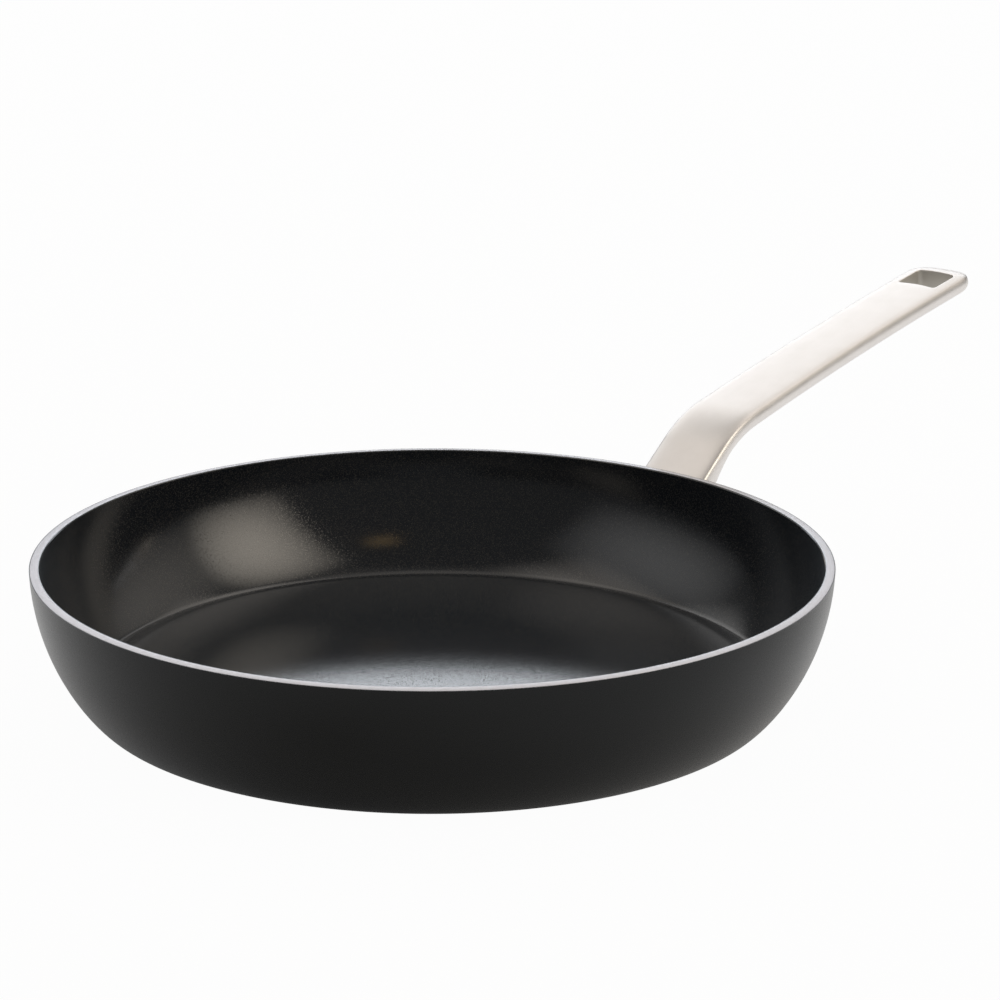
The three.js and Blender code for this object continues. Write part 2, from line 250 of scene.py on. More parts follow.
metal = add_node(tree, "ShaderNodeBsdfPrincipled", {"Base Color": tone.outputs[2], "Metallic": 1,
                 "Roughness": worn.outputs["Result"], "Normal": relief.outputs["Normal"]})
tree.links.new(metal.outputs["BSDF"], surface)
dress("pan_shell", "pan_body", shell, aluminium)

# Ceramic lining: a thin, dark sol-gel layer sprayed over the floor and the inner wall, up to the bare rim.
# It is fired to a satin gloss, and holds fine metallic flakes that sparkle where it catches a light.
lap_drop = 0.06
lap_top = pan_height - lap_drop
lap_radius = rim_inner + rim_lap * (1 - lap_drop / rim_edge) - bond
lining = turned(
    [*reversed(inside_line(coat + shell_wall + bond, shell_floor + bond)),
     (lap_radius, lap_top),
     (lap_radius - coat, lap_top),
     *inside_line(2 * coat + shell_wall, shell_floor + coat)],
    pan_steps,
)
ceramic, tree, surface, place = start_material("flaked_ceramic")
# The flakes are about 0.1 mm wide on the real layer, and drawn 0.3 mm wide here so that they show.
# The more a flake shows, the more it leans out of the surface.
flake_size = 0.3
flake_share = 0.12
flakes = add_node(tree, "ShaderNodeTexVoronoi", {"Vector": place, "Scale": 1 / (flake_size * MM)})
chance = add_node(tree, "ShaderNodeSeparateColor", {"Color": flakes.outputs["Color"]})
shown = add_node(tree, "ShaderNodeMapRange", {"Value": chance.outputs["Red"], "From Min": 0.6, "From Max": 1,
                 "To Min": 0, "To Max": flake_share})
tone = add_node(tree, "ShaderNodeMix", {"Factor": shown.outputs["Result"], 6: linear("#14181e"),
                7: linear("#a39c8f")}, data_type="RGBA")
spread = add_node(tree, "ShaderNodeVectorMath", {0: flakes.outputs["Color"], 1: (0.5, 0.5, 0.5)},
                  operation="SUBTRACT")
loose = add_node(tree, "ShaderNodeMapRange", {"Value": shown.outputs["Result"], "From Max": flake_share,
                 "To Min": 0.012, "To Max": 0.08})
lean = add_node(tree, "ShaderNodeVectorMath", {0: spread.outputs["Vector"], "Scale": loose.outputs["Result"]},
                operation="SCALE")
facing = add_node(tree, "ShaderNodeNewGeometry").outputs["Normal"]
tilted = add_node(tree, "ShaderNodeVectorMath", {0: facing, 1: lean.outputs["Vector"]}, operation="ADD")
upright = add_node(tree, "ShaderNodeVectorMath", {0: tilted.outputs["Vector"]}, operation="NORMALIZE")
glaze = add_node(tree, "ShaderNodeBsdfPrincipled", {"Base Color": tone.outputs[2],
                 "Metallic": shown.outputs["Result"], "Roughness": 0.13, "Specular IOR Level": 0.84,
                 "Normal": upright.outputs["Vector"], "Sheen Weight": 0.08, "Sheen Roughness": 0.4,
                 "Sheen Tint": (0.8, 0.91, 1, 1)})
tree.links.new(glaze.outputs["BSDF"], surface)
dress("ceramic_lining", "ceramic_coating", lining, ceramic)

# Outer coat: a matte charcoal layer sprayed over the outer wall, from the bare rim to the edge of the base.
# It dries with a fine grain, 0.6 mm across, that keeps its reflections dim and soft.
outside = turned(
    [*reversed(wall_line(0)), *wall_line(coat - bond), wall_line(0)[-1]],
    pan_steps,
)
charcoal, tree, surface, place = start_material("sprayed_charcoal")
grain_size = 0.6
grain = add_node(tree, "ShaderNodeTexNoise", {"Vector": place, "Scale": 1 / (grain_size * MM), "Detail": 3})
dull = add_node(tree, "ShaderNodeMapRange", {"Value": grain.outputs["Fac"], "To Min": 0.24, "To Max": 0.32})
tone = add_node(tree, "ShaderNodeMix", {"Factor": grain.outputs["Fac"], 6: linear("#0b0c0c"),
                7: linear("#101213")}, data_type="RGBA")
relief = add_node(tree, "ShaderNodeBump", {"Height": grain.outputs["Fac"], "Strength": 0.15,
                  "Distance": 0.02 * MM})
paint = add_node(tree, "ShaderNodeBsdfPrincipled", {"Base Color": tone.outputs[2],
                 "Roughness": dull.outputs["Result"], "Specular IOR Level": 0.27,
                 "Specular Tint": (0.96, 0.98, 1, 1), "Normal": relief.outputs["Normal"],
                 "Sheen Weight": 0.1, "Sheen Roughness": 0.3})
tree.links.new(paint.outputs["BSDF"], surface)
dress("charcoal_coat", "outer_coating", outside, charcoal)

# Induction disc: magnetic steel sheet, punched with rings of holes and pressed flush into the base.
# Its face is turned after pressing, which leaves fine round marks.
disc = bmesh.new()
bmesh.ops.create_circle(disc, segments=pan_steps, radius=disc_radius * MM)
for place in hole_places:
    bmesh.ops.create_circle(disc, segments=hole_steps, radius=hole_radius * MM,
                            matrix=Matrix.Translation(place * MM))
bmesh.ops.triangle_fill(disc, edges=disc.edges, use_beauty=True)
sheet = bmesh.ops.extrude_face_region(disc, geom=disc.faces[:])
raised = [part for part in sheet["geom"] if isinstance(part, bmesh.types.BMVert)]
bmesh.ops.translate(disc, verts=raised, vec=(0, 0, disc_depth * MM))
bmesh.ops.recalc_face_normals(disc, faces=disc.faces)

# Steel, turned: darker and duller than the aluminium round it, with a faint cloudy haze.
steel, tree, surface, place = start_material("turned_magnetic_steel")
tool_pitch = 0.8
haze_size = 14
marks = add_node(tree, "ShaderNodeTexWave", {"Vector": place, "Scale": wave_period / (tool_pitch * MM),
                 "Distortion": 2, "Detail": 3, "Detail Scale": 0.5}, wave_type="RINGS", rings_direction="Z")
haze = add_node(tree, "ShaderNodeTexNoise", {"Vector": place, "Scale": 1 / (haze_size * MM), "Detail": 5})
dull = add_node(tree, "ShaderNodeMapRange", {"Value": haze.outputs["Fac"], "To Min": 0.22, "To Max": 0.42})
tone = add_node(tree, "ShaderNodeMix", {"Factor": haze.outputs["Fac"], 6: linear("#a9a8a5"),
                7: linear("#c3c2bf")}, data_type="RGBA")
relief = add_node(tree, "ShaderNodeBump", {"Height": marks.outputs["Fac"], "Strength": 0.4,
                  "Distance": 0.01 * MM})
metal = add_node(tree, "ShaderNodeBsdfPrincipled", {"Base Color": tone.outputs[2], "Metallic": 1,
                 "Roughness": dull.outputs["Result"], "Normal": relief.outputs["Normal"]})
tree.links.new(metal.outputs["BSDF"], surface)
dress("steel_disc", "induction_disc", disc, steel)

# Handle: one stainless steel casting. A crowned grip with a crease along each side bends down to the wall,
# where it spreads into a pad that hugs the outer coat. A slot for a hook goes through its end, and a channel
# lightens it below.
root_drop = 3.2
root_slope = math.radians(37.8)
root_length = 17
root_inset = 14
bend_radius = 53
grip_slope = math.radians(11.7)
tip_slope = math.radians(8.1)
grip_length = 158.7
bend_length = bend_radius * (root_slope - grip_slope)
bend_end = root_length + bend_length
handle_length = bend_end + grip_length
root_half = 14.1
waist_half = 13.15
tip_half = 13.3
waist_share = 0.6
neck_fade = 14
side_depth = 6.6
side_bulge = 1.1
side_belly = 0.35
under_edge = 6
crease_round = 0.3
tip_corner = 11.5
tip_roll = 3.2
tip_lift = 2.2
tip_round = 1.8
tip_least = 0.35
tip_tuck = 0.25
gusset_depth = 6
gusset_length = 24
root_flare = 2.2
slot_start = handle_length - 25.8
slot_end = handle_length - 9.9
slot_share = 0.65
slot_bow = 1
slot_corner = 1.7
slot_edge_round = 0.4
channel_start = bend_end + 26
channel_length = 104
channel_end = channel_start + channel_length
channel_half = 6.5
channel_run = 2 * channel_half
channel_depth = 3.2
channel_least = 0.15
seat_gap = 0.3
pad_thickness = 4

# The top of a section on the grip, and how it changes towards the neck. The crown is in millimetres, the flat
# and the shoulder are shares of the half width, and the rise is a share of the crown.
grip_crown, neck_more_crown = 1.15, 0.35
grip_flat, neck_less_flat = 0.75, 0.15
grip_shoulder, neck_less_shoulder = 0.965, 0.045
grip_rise, neck_less_rise = 0.85, 0.03

# Columns of points run along the handle. These are their shares of the top curve out to the slot's edge,
# their numbers on the shoulder and the side, their shares of the rounded crease, and their shares across the
# underside with the channel and without it.
slot_columns = (0, 0.035, 0.07, 0.105, 0.14, 0.18, 0.225, 0.275, 0.386)
shoulder_columns = 9
crease_columns = (0.25, 0.5, 0.75)
side_columns = 14
channel_columns = (0, 0.06, 0.14, 0.24, 0.36, 0.5, 0.7, 1)
even_columns = (0.77, 0.65, 0.54, 0.43, 0.32, 0.21, 0.11, 0)

# Next to the crease, the top and the side curves run this many millimetres per unit of their share.
top_pace = 3.4
side_pace = 6.3


def spine(distance):
    """The crease line's place and slope at a distance along the handle."""
    in_bend = min(max(distance - root_length, 0), bend_length)
    in_grip = max(distance - root_length - bend_length, 0)
    grip_radius = grip_length / (grip_slope - tip_slope)
    bend_slope = root_slope - in_bend / bend_radius
    slope = bend_slope - in_grip / grip_radius
    straight = min(distance, root_length)
    x = (straight * math.cos(root_slope) + bend_radius * (math.sin(root_slope) - math.sin(bend_slope))
         + grip_radius * (math.sin(bend_slope) - math.sin(slope)))
    z = (straight * math.sin(root_slope) + bend_radius * (math.cos(bend_slope) - math.cos(root_slope))
         + grip_radius * (math.cos(slope) - math.cos(bend_slope)))
    return rim_radius + x, pan_height - root_drop + z, slope


def curve_at(start, leave, arrive, end, share):
    """A point on a Bezier curve."""
    rest = 1 - share
    return (Vector(start) * rest ** 3 + Vector(leave) * 3 * rest ** 2 * share
            + Vector(arrive) * 3 * rest * share ** 2 + Vector(end) * share ** 3)


def half_section(distance):
    """Half of the cross-section as (across, up), from the middle of the top to that of the underside."""
    share = max(distance, 0) / handle_length
    end = root_half if share < waist_share else tip_half
    away = 1 - share / waist_share if share < waist_share else (share - waist_share) / (1 - waist_share)
    into_tip = 1 - min((handle_length - distance) / tip_corner, 1)
    tip_turn = 1 - math.sqrt(1 - into_tip ** 2)
    half = waist_half + (end - waist_half) * away ** 2 - tip_corner * tip_turn
    roll = tip_roll * tip_turn
    gusset = gusset_depth * max(1 - max(distance, 0) / gusset_length, 0) ** 2
    under = side_depth + gusset - tip_lift * tip_turn

    # The top is nearly flat on the grip with a tight shoulder, and rounder towards the neck.
    neck = min(max(1 - (distance - root_length) / (bend_length + neck_fade), 0), 1)
    crown = grip_crown + neck_more_crown * neck
    flat = grip_flat - neck_less_flat * neck
    shoulder = grip_shoulder - neck_less_shoulder * neck
    rise = grip_rise - neck_less_rise * neck
    corner = Vector((half, -roll))
    top = ((0, crown - roll), (flat * half, crown - roll), (shoulder * half, rise * crown - roll), corner)
    belly = half + side_bulge
    edge = min(under_edge, half / 2)
    side = (corner, (belly, -roll - side_belly * (under - roll)), (belly, -under), (half - edge, -under))
    top_start = slot_columns[-1]
    top_end = 1 - crease_round / top_pace
    side_start = crease_round / side_pace
    line = [curve_at(*top, s) for s in slot_columns]
    for i in range(1, shoulder_columns + 1):
        line.append(curve_at(*top, top_start + (top_end - top_start) * i / shoulder_columns))
    above, below = line[-1], curve_at(*side, side_start)
    line += [above.lerp(corner, s).lerp(corner.lerp(below, s), s) for s in crease_columns]

    # The side curve is followed to the point under the slot's edge, which is found by halving.
    near, far = 0.5, 1
    for _ in range(30):
        middle = (near + far) / 2
        if curve_at(*side, middle).x > slot_share * half:
            near = middle
        else:
            far = middle
    for i in range(side_columns):
        line.append(curve_at(*side, side_start + (near - side_start) * i / (side_columns - 1)))

    # Below, the columns close up on the channel's edge, and lie evenly where there is no channel.
    from_end = min(distance - channel_start, channel_end - distance)
    past = 1 - min(max(from_end / channel_run, 0), 1)
    full = math.sqrt(1 - past ** 2)
    mouth = channel_half * max(full, channel_least)
    for s, even in zip(channel_columns, even_columns):
        if from_end >= 0:
            line.append(Vector((mouth * (1 - s ** 2), -under + channel_depth * full * (1 - (1 - s) ** 2))))
        else:
            line.append(Vector((slot_share * half * even, -under)))

    # The last sections shrink towards their middle, which rounds the end.
    into_round = max(1 - (handle_length - distance) / tip_round, 0)
    squeeze = tip_least + (1 - tip_least) * math.sqrt(1 - into_round ** 2)
    tuck = 1 - tip_tuck * (1 - squeeze)
    middle = (crown - roll - under) / 2
    return [Vector((p.x * tuck, middle + (p.y - middle) * squeeze)) for p in line]


def on_handle(distance, across, up):
    """A point of the handle, from its place in the section at a distance along the spine."""
    x, z, slope = spine(distance)
    return Vector((x - up * math.sin(slope), across, z + up * math.cos(slope)))


def run(start, end, steps):
    """Evenly spaced distances from a start up to, but without, an end."""
    return [start + (end - start) * i / steps for i in range(steps)]


stations = [
    *run(-root_inset, root_length, 31),
    *run(root_length, bend_end, 14),
    *run(bend_end, channel_start, 10),
    *[channel_start + channel_run * (1 - math.cos(math.radians(turn))) for turn in range(0, 90, 10)],
    *run(channel_start + channel_run, channel_end - channel_run, 30),
    *[channel_end - channel_run * (1 - math.sin(math.radians(turn))) for turn in range(0, 100, 10)],
    *run(slot_start, slot_end, 6),
    *run(slot_end, handle_length - tip_round, 6),
    *[handle_length - tip_round * (1 - math.sin(math.radians(turn))) for turn in range(0, 100, 15)],
]
slot_first, slot_last = stations.index(slot_start), stations.index(slot_end)
half_count = len(half_section(0))
ring_count = 2 * half_count - 2
top_columns = len(slot_columns) - 1
crease_column = len(slot_columns) + shoulder_columns + 1
under_column = half_count - len(channel_columns) - 1

# The skin starts as a flat grid, stations by columns, and is rolled round the spine. The slot's ends bow
# towards the tip, and the underside flares out a little where the root runs into the pad.
casting = bmesh.new()
bmesh.ops.create_grid(casting, x_segments=len(stations) - 1, y_segments=ring_count, size=0.5)
station_of = casting.verts.layers.int.new("station")
column_of = casting.verts.layers.int.new("column")
sections = [half_section(distance) for distance in stations]
core = Vector((0, -side_depth / 2))
for vert in casting.verts:
    vert[station_of] = round((vert.co.x + 0.5) * (len(stations) - 1))
    column = round((vert.co.y + 0.5) * ring_count) % ring_count
    side = 1 if column < half_count else -1
    vert[column_of] = column if side > 0 else ring_count - column
    distance = stations[vert[station_of]]
    section = sections[vert[station_of]]
    across, up = section[vert[column_of]]
    slot_half = section[top_columns].x
    if vert[station_of] in (slot_first, slot_last) and across < slot_half:
        distance += slot_bow * (1 - (across / slot_half) ** 2)
    spot = on_handle(distance, side * across, up)
    if distance < root_length:
        from_pad = spot.xy.length - wall_radius(spot.z, -seat_gap - pad_thickness)
        if vert[column_of] > crease_column and from_pad < root_flare:
            short = root_flare - max(from_pad, 0)
            rounded = root_flare - math.sqrt(root_flare ** 2 - short ** 2)
            flare = rounded * min(-up / side_depth, 1) ** 2
            spread = (section[vert[column_of]] - core).normalized() * flare
            spot = on_handle(distance, side * (across + spread.x), up + spread.y)
    vert.co = spot * MM


def along_slot(vert):
    return slot_first <= vert[station_of] <= slot_last


def within_slot(face):
    above = all(v[column_of] <= top_columns for v in face.verts)
    below = all(v[column_of] >= under_column for v in face.verts)
    return all(along_slot(v) for v in face.verts) and (above or below)


bmesh.ops.delete(casting, geom=[face for face in casting.faces if within_slot(face)], context="FACES")
bmesh.ops.remove_doubles(casting, verts=casting.verts, dist=weld)
slot_rims = [e for e in casting.edges if e.is_boundary and all(along_slot(v) for v in e.verts)]
bmesh.ops.bridge_loops(casting, edges=slot_rims)
bmesh.ops.holes_fill(casting, edges=[e for e in casting.edges if e.is_boundary], sides=0)
bmesh.ops.recalc_face_normals(casting, faces=casting.faces)
corners = []
for edge in casting.edges:
    ends = [(v[station_of], v[column_of]) for v in edge.verts]
    at_slot_end = {s for s, _ in ends} <= {slot_first, slot_last}
    if at_slot_end and {c for _, c in ends} == {top_columns, under_column}:
        corners.append(edge)
round_edges(casting, corners, slot_corner, segments=5)


def on_slot_rim(edge):
    """Whether an edge is one of the sharp ones between the slot's walls and the skin."""
    margin = 1
    for vert in edge.verts:
        from_start = (vert.co.x / MM - spine(slot_start)[0]) / math.cos(tip_slope)
        if not slot_start - margin < from_start + slot_start < slot_end + margin:
            return False
    return len(edge.link_faces) == 2 and edge.calc_face_angle() > math.radians(55)


round_edges(casting, [e for e in casting.edges if on_slot_rim(e)], slot_edge_round, segments=3)

# The pad starts as a grid too: it is laid just inside the wall, within its flared outline, then thickened
# and rounded. What lies inside the wall is cut away below.
pad_top = 45
pad_bottom = 15
pad_top_half = 13.2
pad_half = 23.5
pad_corner = 9
pad_straight = 3
pad_inset = 1
pad_round = 1.5
pad_columns = 22
pad_flare_rows = 8
pad_corner_rows = 12
pad_middle = (pad_top + pad_bottom) / 2
pad_flare = (
    (pad_top_half, pad_top),
    (pad_top_half, pad_top - pad_corner),
    (pad_half, pad_top - pad_corner / 2),
    (pad_half, pad_middle),
)
pad_rows = [curve_at(*pad_flare, i / pad_flare_rows) for i in range(pad_flare_rows + 1)]
pad_rows += [Vector((pad_half, pad_bottom + pad_corner + pad_straight))]
for i in range(pad_corner_rows + 1):
    share = i / pad_corner_rows
    pad_rows.append(Vector((pad_half - pad_corner * share ** 2, pad_bottom + pad_corner * (1 - share) ** 2)))


def wall_slope(height):
    """How much the outer wall's radius grows per millimetre of height."""
    return (wall_radius(height + 1) - wall_radius(height - 1)) / 2


pad = bmesh.new()
bmesh.ops.create_grid(pad, x_segments=pad_columns, y_segments=len(pad_rows) - 1, size=0.5)
for vert in pad.verts:
    half, height = pad_rows[round((0.5 - vert.co.y) * (len(pad_rows) - 1))]
    across = 2 * vert.co.x * half
    radius = wall_radius(height) - pad_inset
    vert.co = Vector((math.sqrt(radius ** 2 - across ** 2), across, height)) * MM
bmesh.ops.recalc_face_normals(pad, faces=pad.faces)
pad_skin = bmesh.ops.extrude_face_region(pad, geom=pad.faces[:])
for part in pad_skin["geom"]:
    if isinstance(part, bmesh.types.BMVert):
        outwards = Vector((part.co.x, part.co.y, 0)).normalized()
        slope = wall_slope(part.co.z / MM)
        thickness = pad_inset + seat_gap + pad_thickness
        part.co += (outwards - Vector((0, 0, slope))) * thickness * MM / math.hypot(1, slope)
bmesh.ops.recalc_face_normals(pad, faces=pad.faces)


def on_pad_edge(edge):
    """Whether an edge is one of the sharp ones round the pad's outer face."""
    outer = all(v.co.xy.length / MM > wall_radius(v.co.z / MM) + pad_thickness / 2 for v in edge.verts)
    return outer and edge.calc_face_angle() > math.radians(45)


round_edges(pad, [e for e in pad.edges if on_pad_edge(e)], pad_round, segments=4)

# Two bosses stand on the pad, one round each stud. The bores have other steps than the bosses, so that no
# edges of theirs coincide when they are cut.
stud_height = 28
stud_spacing = 29
stud_radius = 3.5
boss_radius = 7
boss_height = 6.5
boss_foot = 1
boss_round = 1
boss_steps = 48
bore_steps = 44


def stud_place(side):
    """Where a stud stands on the wall, with its axis square to the wall in side view."""
    across = side * stud_spacing / 2
    foot = Vector((math.sqrt(wall_radius(stud_height) ** 2 - across ** 2), across, stud_height))
    tilt = math.pi / 2 + math.atan(wall_slope(stud_height))
    return Matrix.Translation(foot * MM) @ Matrix.Rotation(tilt, 4, "Y")


def combined(first, others):
    """One closed mesh from one that others are joined to or cut from."""
    solids = []
    for part in [first] + [part for part, _ in others]:
        mesh = bpy.data.meshes.new("part")
        part.to_mesh(mesh)
        part.free()
        solids.append(bpy.data.objects.new("part", mesh))
        scene.collection.objects.link(solids[-1])
    for solid, (_, operation) in zip(solids[1:], others):
        step = solids[0].modifiers.new("step", "BOOLEAN")
        step.object = solid
        step.operation = operation
        step.solver = "MANIFOLD"
    bm = bmesh.new()
    bm.from_object(solids[0], bpy.context.evaluated_depsgraph_get())
    for solid in solids:
        bpy.data.meshes.remove(solid.data)
    bmesh.ops.dissolve_degenerate(bm, dist=tolerance, edges=bm.edges)
    bmesh.ops.triangulate(bm, faces=[face for face in bm.faces if len(face.verts) > 4])
    return bm


headroom = 2 * pan_height
seat = [(0, 0), *reversed(wall_line(-seat_gap)), (rim_radius + seat_gap, headroom), (0, headroom)]
bore = stud_radius + seat_gap
bore_top = 2 * boss_height
bosses = []
bores = []
for side in (1, -1):
    boss = turned([(0, boss_foot), (boss_radius, boss_foot), (boss_radius, boss_height), (0, boss_height)],
                  boss_steps)
    round_edges(boss, hoop(boss, boss_radius, boss_height), boss_round, segments=4)
    drill = turned([(0, -boss_height), (bore, -boss_height), (bore, bore_top), (0, bore_top)], bore_steps)
    for part in (boss, drill):
        bmesh.ops.transform(part, matrix=stud_place(side), verts=part.verts)
    bosses.append((boss, "UNION"))
    bores.append((drill, "DIFFERENCE"))
casting = combined(casting, [(pad, "UNION"), *bosses, (turned(seat, pan_steps), "DIFFERENCE"), *bores])

# The slot's walls, the steep faces near it, are marked for the material, which makes them duller and paints
# shade on them.
slot_from = spine(slot_start)[0] - 1
slot_to = spine(slot_end)[0] + 2
slot_reach = slot_share * tip_half + 0.5
steep = 0.6
slot_shade_and_dull = casting.faces.layers.float.new("slot_shade_and_dull")
for face in casting.faces:
    middle = face.calc_center_median() / MM
    in_slot = slot_from < middle.x < slot_to and abs(middle.y) < slot_reach
    face[slot_shade_and_dull] = in_slot and abs(face.normal.z) < steep

# Stainless steel, cast and satin-brushed along the grip: pale and slightly warm, with fine lines that blur
# its reflections. The lines are about 0.1 mm apart, and drawn 0.4 mm apart here so that they show. The slot's
# walls are drawn duller, and their darker, greyer colour is painted shade inside the slot.
stainless, tree, surface, place = start_material("satin_stainless_steel")
brush_pitch = 0.4
cloud_size = 9
along = add_node(tree, "ShaderNodeMapping", {"Vector": place, "Scale": (1 / 25, 1, 1 / 4)})
brushed = add_node(tree, "ShaderNodeTexNoise", {"Vector": along.outputs["Vector"],
                   "Scale": 1 / (brush_pitch * MM), "Detail": 3})
cloudy = add_node(tree, "ShaderNodeTexNoise", {"Vector": place, "Scale": 1 / (cloud_size * MM), "Detail": 4})
bright = add_node(tree, "ShaderNodeMix", {"Factor": cloudy.outputs["Fac"], 6: linear("#e6e2de"),
                  7: linear("#efebe8")}, data_type="RGBA")
# The slot's walls take a darker, greyer colour, which is painted shade inside the slot. They are also drawn
# duller.
slot_walls_shaded = add_node(tree, "ShaderNodeAttribute", attribute_name="slot_shade_and_dull").outputs["Fac"]
tone = add_node(tree, "ShaderNodeMix", {"Factor": slot_walls_shaded, 6: bright.outputs[2], 7: linear("#c6c2bb")},
                data_type="RGBA")
satin = add_node(tree, "ShaderNodeMapRange", {"Value": brushed.outputs["Fac"], "From Min": 0.25,
                 "From Max": 0.75, "To Min": 0.36, "To Max": 0.46})
dull = add_node(tree, "ShaderNodeMapRange", {"Value": slot_walls_shaded, "To Min": satin.outputs["Result"],
                "To Max": 0.62})
relief = add_node(tree, "ShaderNodeBump", {"Height": brushed.outputs["Fac"], "Strength": 0.1,
                  "Distance": 0.02 * MM})
metal = add_node(tree, "ShaderNodeBsdfPrincipled", {"Base Color": tone.outputs[2], "Metallic": 1,
                 "Roughness": dull.outputs["Result"], "Normal": relief.outputs["Normal"]})
tree.links.new(metal.outputs["BSDF"], surface)
dress("cast_handle", "handle", casting, stainless, sharp=40)

# Weld studs: two aluminium studs welded to the outside of the wall, bored for the screws.
# Their metal is drawn and left as it is, so it is a little pitted and dull.
stud_bore = 2.3
stud_floor = 1.2
stud_top = boss_height - 0.5
stud_foot = -0.3
stud_round = 0.25
stud_steps = 40
pit_size = 0.8
stud_metal, tree, surface, place = start_material("stud_aluminium")
pitted = add_node(tree, "ShaderNodeTexNoise", {"Vector": place, "Scale": 1 / (pit_size * MM), "Detail": 4})
dull = add_node(tree, "ShaderNodeMapRange", {"Value": pitted.outputs["Fac"], "To Min": 0.35, "To Max": 0.55})
relief = add_node(tree, "ShaderNodeBump", {"Height": pitted.outputs["Fac"], "Strength": 0.3,
                  "Distance": 0.03 * MM})
metal = add_node(tree, "ShaderNodeBsdfPrincipled", {"Base Color": linear("#cfd0d3"), "Metallic": 1,
                 "Roughness": dull.outputs["Result"], "Normal": relief.outputs["Normal"]})
tree.links.new(metal.outputs["BSDF"], surface)
for label, side in (("left", 1), ("right", -1)):
    stud = turned([(0, stud_foot), (stud_radius, stud_foot), (stud_radius, stud_top), (stud_bore, stud_top),
                   (stud_bore, stud_floor), (0, stud_floor)], stud_steps)
    stud_rims = hoop(stud, stud_radius, stud_top) + hoop(stud, stud_bore, stud_top)
    round_edges(stud, stud_rims, stud_round, segments=2)
    bmesh.ops.transform(stud, matrix=stud_place(side), verts=stud.verts)
    dress("stud_" + label, "weld_stud_" + label, stud, stud_metal)

# Washers and button-head screws: plain stainless fasteners that clamp the pad on to the studs.
# Each screw has a domed head with a hexagon socket. Handling leaves their steel rubbed and slightly uneven.
washer_radius = 5
washer_thickness = 1
washer_round = 0.2
screw_radius = 2
screw_foot = boss_height - 5
head_radius = 4.75
head_height = 2.7
head_edge = 0.8
head_flat = 2.2
dome_rise = 0.8
dome_width = 0.75
dome_steps = 8
socket_radius = 1.6
socket_depth = 1.7
socket_cuts = 7
fastener_steps = 48
rub_size = 0.5
fastener, tree, surface, place = start_material("fastener_steel")
rubbed = add_node(tree, "ShaderNodeTexNoise", {"Vector": place, "Scale": 1 / (rub_size * MM), "Detail": 3})
dull = add_node(tree, "ShaderNodeMapRange", {"Value": rubbed.outputs["Fac"], "To Min": 0.2, "To Max": 0.36})
tone = add_node(tree, "ShaderNodeMix", {"Factor": rubbed.outputs["Fac"], 6: linear("#b3afa9"),
                7: linear("#c6c3be")}, data_type="RGBA")
metal = add_node(tree, "ShaderNodeBsdfPrincipled", {"Base Color": tone.outputs[2], "Metallic": 1,
                 "Roughness": dull.outputs["Result"]})
tree.links.new(metal.outputs["BSDF"], surface)
for label, side in (("left", 1), ("right", -1)):
    low = boss_height + seat_gap
    high = low + washer_thickness
    inner = screw_radius + seat_gap
    washer = turned([(inner, low), (washer_radius, low), (washer_radius, high), (inner, high), (inner, low)],
                    fastener_steps)
    washer_rims = hoop(washer, washer_radius, high) + hoop(washer, inner, high)
    round_edges(washer, washer_rims, washer_round, segments=2)
    bmesh.ops.transform(washer, matrix=stud_place(side), verts=washer.verts)
    dress("washer_" + label, "handle_washer_" + label, washer, fastener)

    under_head = high + seat_gap
    crown = under_head + head_height
    dome = (
        (head_radius, under_head + head_edge),
        (head_radius, under_head + dome_rise * head_height),
        (dome_width * head_radius, crown),
        (head_flat, crown),
    )
    head = [tuple(curve_at(*dome, i / dome_steps)) for i in range(dome_steps + 1)]
    screw = turned([(0, screw_foot), (screw_radius, screw_foot), (screw_radius, under_head),
                    (head_radius, under_head), *head], fastener_steps)
    socket = bmesh.ops.create_circle(screw, segments=6, radius=socket_radius * MM,
                                     matrix=Matrix.Translation((0, 0, crown * MM)))
    hexagon = list({edge for vert in socket["verts"] for edge in vert.link_edges})
    bmesh.ops.subdivide_edges(screw, edges=hexagon, cuts=socket_cuts)
    hexagon = [edge for edge in screw.edges if edge.is_wire]
    bmesh.ops.bridge_loops(screw, edges=hexagon + hoop(screw, head_flat, crown))
    wall = bmesh.ops.extrude_edge_only(screw, edges=hexagon)
    sunk = [part for part in wall["geom"] if isinstance(part, bmesh.types.BMVert)]
    bmesh.ops.translate(screw, verts=sunk, vec=(0, 0, -socket_depth * MM))
    bmesh.ops.holes_fill(screw, edges=[edge for edge in screw.edges if edge.is_boundary], sides=0)
    bmesh.ops.recalc_face_normals(screw, faces=screw.faces)
    bmesh.ops.transform(screw, matrix=stud_place(side), verts=screw.verts)
    dress("screw_" + label, "handle_screw_" + label, screw, fastener)

# Studio floor: a wide sheet of white paper, in metres. The camera sees it as white, with the pan's soft
# shadow on it. The pan's reflections see it white too, with painted shade in front of the pan and close to
# its foot, where the pan shades it, and painted dimming far off. It is clear from below, so that the base
# can be looked at.
paper_half = 8
paper_drop = 0.0002
shade_middle = (-0.155, -0.065, 0)
floor_mesh = bmesh.new()
bmesh.ops.create_grid(floor_mesh, x_segments=1, y_segments=1, size=paper_half)
bmesh.ops.translate(floor_mesh, verts=floor_mesh.verts, vec=(0, 0, -paper_drop))
paper, tree, surface, place = start_material("white_paper")
rays = add_node(tree, "ShaderNodeLightPath")
matt = add_node(tree, "ShaderNodeBsdfDiffuse", {"Color": linear("#e6e6e6")})
white = add_node(tree, "ShaderNodeEmission", {"Color": (1, 1, 1, 1), "Strength": 1})
seen = add_node(tree, "ShaderNodeMath", {0: rays.outputs["Is Camera Ray"], 1: 0.97}, operation="MULTIPLY")
